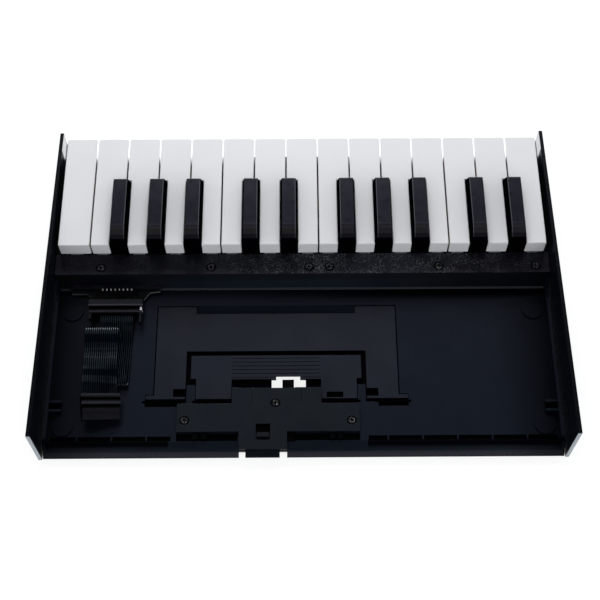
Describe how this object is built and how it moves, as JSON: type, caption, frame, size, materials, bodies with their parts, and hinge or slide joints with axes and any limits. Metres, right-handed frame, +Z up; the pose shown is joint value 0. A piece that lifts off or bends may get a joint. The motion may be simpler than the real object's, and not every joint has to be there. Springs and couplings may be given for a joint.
{
  "type": "mini keyboard",
  "caption": "Mini keyboard with an open bay behind its keys for a docked instrument, with folded tilt stands and a ribbon cable.",
  "frame": {"origin": "bottom centre of the whole object, on the surface that its rubber feet stand on", "axes": "+X to the player's right, +Y away from the player towards the bay's open edge, +Z up"},
  "size_m": [0.31, 0.2116, 0.041],
  "materials": {
    "white_key_plastic": "satin",
    "black_key_plastic": "satin",
    "case_plastic": "fine texture",
    "frame_plastic": "moulded",
    "panel_paint": "satin",
    "foot_rubber": "matte",
    "contact_rubber": "matte",
    "stop_felt": "felt",
    "steel": "bright",
    "black_steel": "black oxide",
    "board_laminate": "solder mask",
    "cable_insulation": "satin"
  },
  "bodies": {
    "case": {"bottom_tray": "case_plastic", "rear_rail": "case_plastic", "latch_bracket": "case_plastic", "box_header": "case_plastic", "ribbon_socket": "case_plastic", "ribbon_plug": "case_plastic", "key_frame": "frame_plastic", "side_panel_left": "panel_paint", "side_panel_right": "panel_paint", "rubber_foot_1": "foot_rubber", "rubber_foot_2": "foot_rubber", "rubber_foot_3": "foot_rubber", "rubber_foot_4": "foot_rubber", "rubber_foot_5": "foot_rubber", "rubber_foot_6": "foot_rubber", "rubber_contact_strip": "contact_rubber", "white_key_stop_felt": "stop_felt", "black_key_stop_felt": "stop_felt", "key_pivot_rod": "steel", "latch_spring": "steel", "rail_screw_1": "black_steel", "rail_screw_2": "black_steel", "rail_screw_3": "black_steel", "rail_screw_4": "black_steel", "rail_screw_5": "black_steel", "rail_screw_6": "black_steel", "bracket_screw_1": "black_steel", "bracket_screw_2": "black_steel", "bracket_screw_3": "black_steel", "main_board": "board_laminate", "ribbon_cable": "cable_insulation"},
    "white_key_01": {"white_key_01": "white_key_plastic"},
    "white_key_02": {"white_key_02": "white_key_plastic"},
    "white_key_03": {"white_key_03": "white_key_plastic"},
    "white_key_04": {"white_key_04": "white_key_plastic"},
    "white_key_05": {"white_key_05": "white_key_plastic"},
    "white_key_06": {"white_key_06": "white_key_plastic"},
    "white_key_07": {"white_key_07": "white_key_plastic"},
    "white_key_08": {"white_key_08": "white_key_plastic"},
    "white_key_09": {"white_key_09": "white_key_plastic"},
    "white_key_10": {"white_key_10": "white_key_plastic"},
    "white_key_11": {"white_key_11": "white_key_plastic"},
    "white_key_12": {"white_key_12": "white_key_plastic"},
    "white_key_13": {"white_key_13": "white_key_plastic"},
    "white_key_14": {"white_key_14": "white_key_plastic"},
    "white_key_15": {"white_key_15": "white_key_plastic"},
    "black_key_01": {"black_key_01": "black_key_plastic"},
    "black_key_02": {"black_key_02": "black_key_plastic"},
    "black_key_03": {"black_key_03": "black_key_plastic"},
    "black_key_04": {"black_key_04": "black_key_plastic"},
    "black_key_05": {"black_key_05": "black_key_plastic"},
    "black_key_06": {"black_key_06": "black_key_plastic"},
    "black_key_07": {"black_key_07": "black_key_plastic"},
    "black_key_08": {"black_key_08": "black_key_plastic"},
    "black_key_09": {"black_key_09": "black_key_plastic"},
    "black_key_10": {"black_key_10": "black_key_plastic"},
    "tilt_stand_long": {"tilt_stand_long": "case_plastic"},
    "tilt_stand_short": {"tilt_stand_short": "case_plastic"},
    "latch_slider": {"latch_slider": "case_plastic"}
  },
  "joints": [
    {"name": "white_key_01_hinge", "type": "hinge", "parent": "case", "child": "white_key_01", "pos_m": [0, -0.0191, 0.015], "axis": [1, 0, 0], "range_deg": [0, 2.8], "stiffness_Nm_per_rad": 0.4, "springref_deg": -3.44},
    {"name": "white_key_02_hinge", "type": "hinge", "parent": "case", "child": "white_key_02", "pos_m": [0, -0.0191, 0.015], "axis": [1, 0, 0], "range_deg": [0, 2.8], "stiffness_Nm_per_rad": 0.4, "springref_deg": -3.44},
    {"name": "white_key_03_hinge", "type": "hinge", "parent": "case", "child": "white_key_03", "pos_m": [0, -0.0191, 0.015], "axis": [1, 0, 0], "range_deg": [0, 2.8], "stiffness_Nm_per_rad": 0.4, "springref_deg": -3.44},
    {"name": "white_key_04_hinge", "type": "hinge", "parent": "case", "child": "white_key_04", "pos_m": [0, -0.0191, 0.015], "axis": [1, 0, 0], "range_deg": [0, 2.8], "stiffness_Nm_per_rad": 0.4, "springref_deg": -3.44},
    {"name": "white_key_05_hinge", "type": "hinge", "parent": "case", "child": "white_key_05", "pos_m": [0, -0.0191, 0.015], "axis": [1, 0, 0], "range_deg": [0, 2.8], "stiffness_Nm_per_rad": 0.4, "springref_deg": -3.44},
    {"name": "white_key_06_hinge", "type": "hinge", "parent": "case", "child": "white_key_06", "pos_m": [0, -0.0191, 0.015], "axis": [1, 0, 0], "range_deg": [0, 2.8], "stiffness_Nm_per_rad": 0.4, "springref_deg": -3.44},
    {"name": "white_key_07_hinge", "type": "hinge", "parent": "case", "child": "white_key_07", "pos_m": [0, -0.0191, 0.015], "axis": [1, 0, 0], "range_deg": [0, 2.8], "stiffness_Nm_per_rad": 0.4, "springref_deg": -3.44},
    {"name": "white_key_08_hinge", "type": "hinge", "parent": "case", "child": "white_key_08", "pos_m": [0, -0.0191, 0.015], "axis": [1, 0, 0], "range_deg": [0, 2.8], "stiffness_Nm_per_rad": 0.4, "springref_deg": -3.44},
    {"name": "white_key_09_hinge", "type": "hinge", "parent": "case", "child": "white_key_09", "pos_m": [0, -0.0191, 0.015], "axis": [1, 0, 0], "range_deg": [0, 2.8], "stiffness_Nm_per_rad": 0.4, "springref_deg": -3.44},
    {"name": "white_key_10_hinge", "type": "hinge", "parent": "case", "child": "white_key_10", "pos_m": [0, -0.0191, 0.015], "axis": [1, 0, 0], "range_deg": [0, 2.8], "stiffness_Nm_per_rad": 0.4, "springref_deg": -3.44},
    {"name": "white_key_11_hinge", "type": "hinge", "parent": "case", "child": "white_key_11", "pos_m": [0, -0.0191, 0.015], "axis": [1, 0, 0], "range_deg": [0, 2.8], "stiffness_Nm_per_rad": 0.4, "springref_deg": -3.44},
    {"name": "white_key_12_hinge", "type": "hinge", "parent": "case", "child": "white_key_12", "pos_m": [0, -0.0191, 0.015], "axis": [1, 0, 0], "range_deg": [0, 2.8], "stiffness_Nm_per_rad": 0.4, "springref_deg": -3.44},
    {"name": "white_key_13_hinge", "type": "hinge", "parent": "case", "child": "white_key_13", "pos_m": [0, -0.0191, 0.015], "axis": [1, 0, 0], "range_deg": [0, 2.8], "stiffness_Nm_per_rad": 0.4, "springref_deg": -3.44},
    {"name": "white_key_14_hinge", "type": "hinge", "parent": "case", "child": "white_key_14", "pos_m": [0, -0.0191, 0.015], "axis": [1, 0, 0], "range_deg": [0, 2.8], "stiffness_Nm_per_rad": 0.4, "springref_deg": -3.44},
    {"name": "white_key_15_hinge", "type": "hinge", "parent": "case", "child": "white_key_15", "pos_m": [0, -0.0191, 0.015], "axis": [1, 0, 0], "range_deg": [0, 2.8], "stiffness_Nm_per_rad": 0.4, "springref_deg": -3.44},
    {"name": "black_key_01_hinge", "type": "hinge", "parent": "case", "child": "black_key_01", "pos_m": [0, -0.0191, 0.015], "axis": [1, 0, 0], "range_deg": [0, 2.8], "stiffness_Nm_per_rad": 0.4, "springref_deg": -3.44},
    {"name": "black_key_02_hinge", "type": "hinge", "parent": "case", "child": "black_key_02", "pos_m": [0, -0.0191, 0.015], "axis": [1, 0, 0], "range_deg": [0, 2.8], "stiffness_Nm_per_rad": 0.4, "springref_deg": -3.44},
    {"name": "black_key_03_hinge", "type": "hinge", "parent": "case", "child": "black_key_03", "pos_m": [0, -0.0191, 0.015], "axis": [1, 0, 0], "range_deg": [0, 2.8], "stiffness_Nm_per_rad": 0.4, "springref_deg": -3.44},
    {"name": "black_key_04_hinge", "type": "hinge", "parent": "case", "child": "black_key_04", "pos_m": [0, -0.0191, 0.015], "axis": [1, 0, 0], "range_deg": [0, 2.8], "stiffness_Nm_per_rad": 0.4, "springref_deg": -3.44},
    {"name": "black_key_05_hinge", "type": "hinge", "parent": "case", "child": "black_key_05", "pos_m": [0, -0.0191, 0.015], "axis": [1, 0, 0], "range_deg": [0, 2.8], "stiffness_Nm_per_rad": 0.4, "springref_deg": -3.44},
    {"name": "black_key_06_hinge", "type": "hinge", "parent": "case", "child": "black_key_06", "pos_m": [0, -0.0191, 0.015], "axis": [1, 0, 0], "range_deg": [0, 2.8], "stiffness_Nm_per_rad": 0.4, "springref_deg": -3.44},
    {"name": "black_key_07_hinge", "type": "hinge", "parent": "case", "child": "black_key_07", "pos_m": [0, -0.0191, 0.015], "axis": [1, 0, 0], "range_deg": [0, 2.8], "stiffness_Nm_per_rad": 0.4, "springref_deg": -3.44},
    {"name": "black_key_08_hinge", "type": "hinge", "parent": "case", "child": "black_key_08", "pos_m": [0, -0.0191, 0.015], "axis": [1, 0, 0], "range_deg": [0, 2.8], "stiffness_Nm_per_rad": 0.4, "springref_deg": -3.44},
    {"name": "black_key_09_hinge", "type": "hinge", "parent": "case", "child": "black_key_09", "pos_m": [0, -0.0191, 0.015], "axis": [1, 0, 0], "range_deg": [0, 2.8], "stiffness_Nm_per_rad": 0.4, "springref_deg": -3.44},
    {"name": "black_key_10_hinge", "type": "hinge", "parent": "case", "child": "black_key_10", "pos_m": [0, -0.0191, 0.015], "axis": [1, 0, 0], "range_deg": [0, 2.8], "stiffness_Nm_per_rad": 0.4, "springref_deg": -3.44},
    {"name": "tilt_stand_long_hinge", "type": "hinge", "parent": "case", "child": "tilt_stand_long", "pos_m": [0.0161, 0.0712, 0.0046], "axis": [-1, 0, 0], "range_deg": [0, 75]},
    {"name": "tilt_stand_short_hinge", "type": "hinge", "parent": "case", "child": "tilt_stand_short", "pos_m": [0.0161, 0.0712, 0.0046], "axis": [-1, 0, 0], "range_deg": [0, 75]},
    {"name": "latch_slide", "type": "slide", "parent": "case", "child": "latch_slider", "axis": [0, -1, 0], "range_m": [0, 0.002], "stiffness_N_per_m": 300, "springref_m": -0.003, "deforming": ["latch_spring"]}
  ]
}
